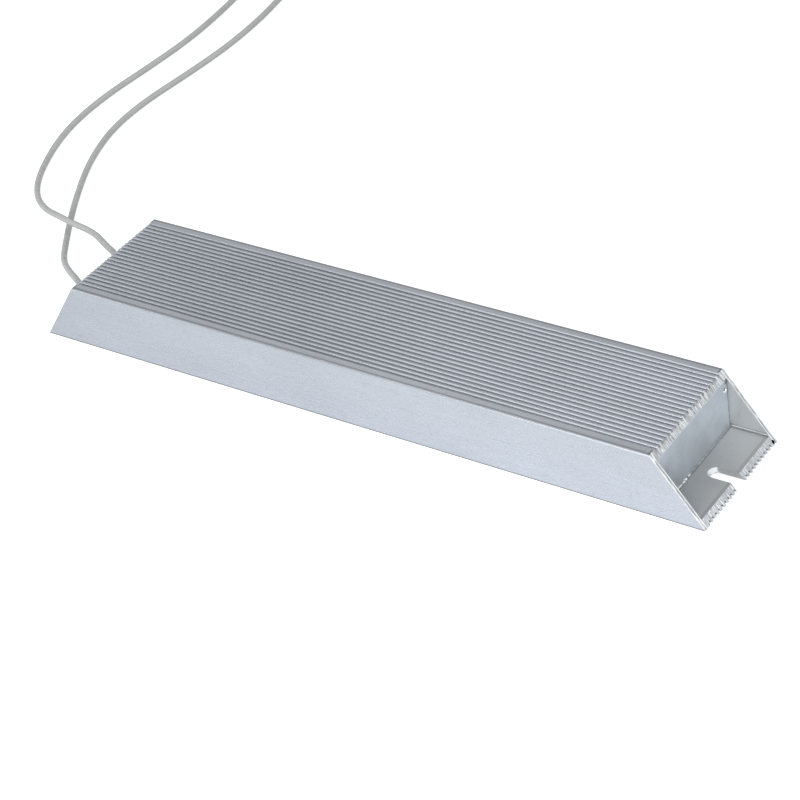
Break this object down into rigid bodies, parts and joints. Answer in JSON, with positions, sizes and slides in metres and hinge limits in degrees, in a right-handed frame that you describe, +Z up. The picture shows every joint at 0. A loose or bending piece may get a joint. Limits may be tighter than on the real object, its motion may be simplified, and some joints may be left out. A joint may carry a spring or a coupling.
{
  "type": "braking resistor",
  "caption": "Long aluminium-housed wire-wound power resistor, ribbed above and below, with slanted open ends, a screw slot in each foot and flexible leads at one end.",
  "frame": {"origin": "middle of the housing's base", "axes": "+X along the housing away from the lead end, +Y across it, +Z up from the base"},
  "size_m": [0.4506, 0.3646, 0.03],
  "materials": {
    "housing": "mill-finish extruded aluminium, satin",
    "end_plate": "rolled aluminium sheet, dull",
    "former": "unglazed ceramic",
    "winding": "oxidised resistance alloy",
    "mica": "pressed mica sheet",
    "saddle": "unglazed ceramic",
    "sand": "set quartz sand",
    "cement": "cast cement",
    "clip": "nickel-plated steel strip",
    "return_wire": "nickel wire",
    "return_sleeve": "ceramic tube",
    "ferrule": "plated crimp tube",
    "conductor": "copper wire",
    "lead_insulation": "pale grey silicone insulation, satin",
    "bushing": "white silicone rubber",
    "ring_terminal": "tinned copper",
    "terminal_sleeve": "pale plastic sleeve"
  },
  "bodies": {
    "root": {"housing": "housing", "end_plate_left": "end_plate", "end_plate_right": "end_plate", "winding_former": "former", "resistance_winding": "winding", "mica_sheet_upper": "mica", "mica_sheet_lower": "mica", "former_saddle_left": "saddle", "former_saddle_right": "saddle", "sand_fill_lower": "sand", "sand_fill_upper": "sand", "cement_plug_left": "cement", "cement_plug_right": "cement", "terminal_clip_near": "clip", "terminal_clip_far": "clip", "return_clip": "clip", "return_wire": "return_wire", "return_wire_sleeve": "return_sleeve", "ferrule_near": "ferrule", "ferrule_far": "ferrule", "conductor_near": "conductor", "conductor_far": "conductor", "lead_tail_near": "lead_insulation", "lead_tail_far": "lead_insulation", "lead_near": "lead_insulation", "lead_far": "lead_insulation", "lead_bushing_near": "bushing", "lead_bushing_far": "bushing", "ring_terminal_near": "ring_terminal", "ring_terminal_far": "ring_terminal", "terminal_sleeve_near": "terminal_sleeve", "terminal_sleeve_far": "terminal_sleeve"}
  },
  "joints": []
}
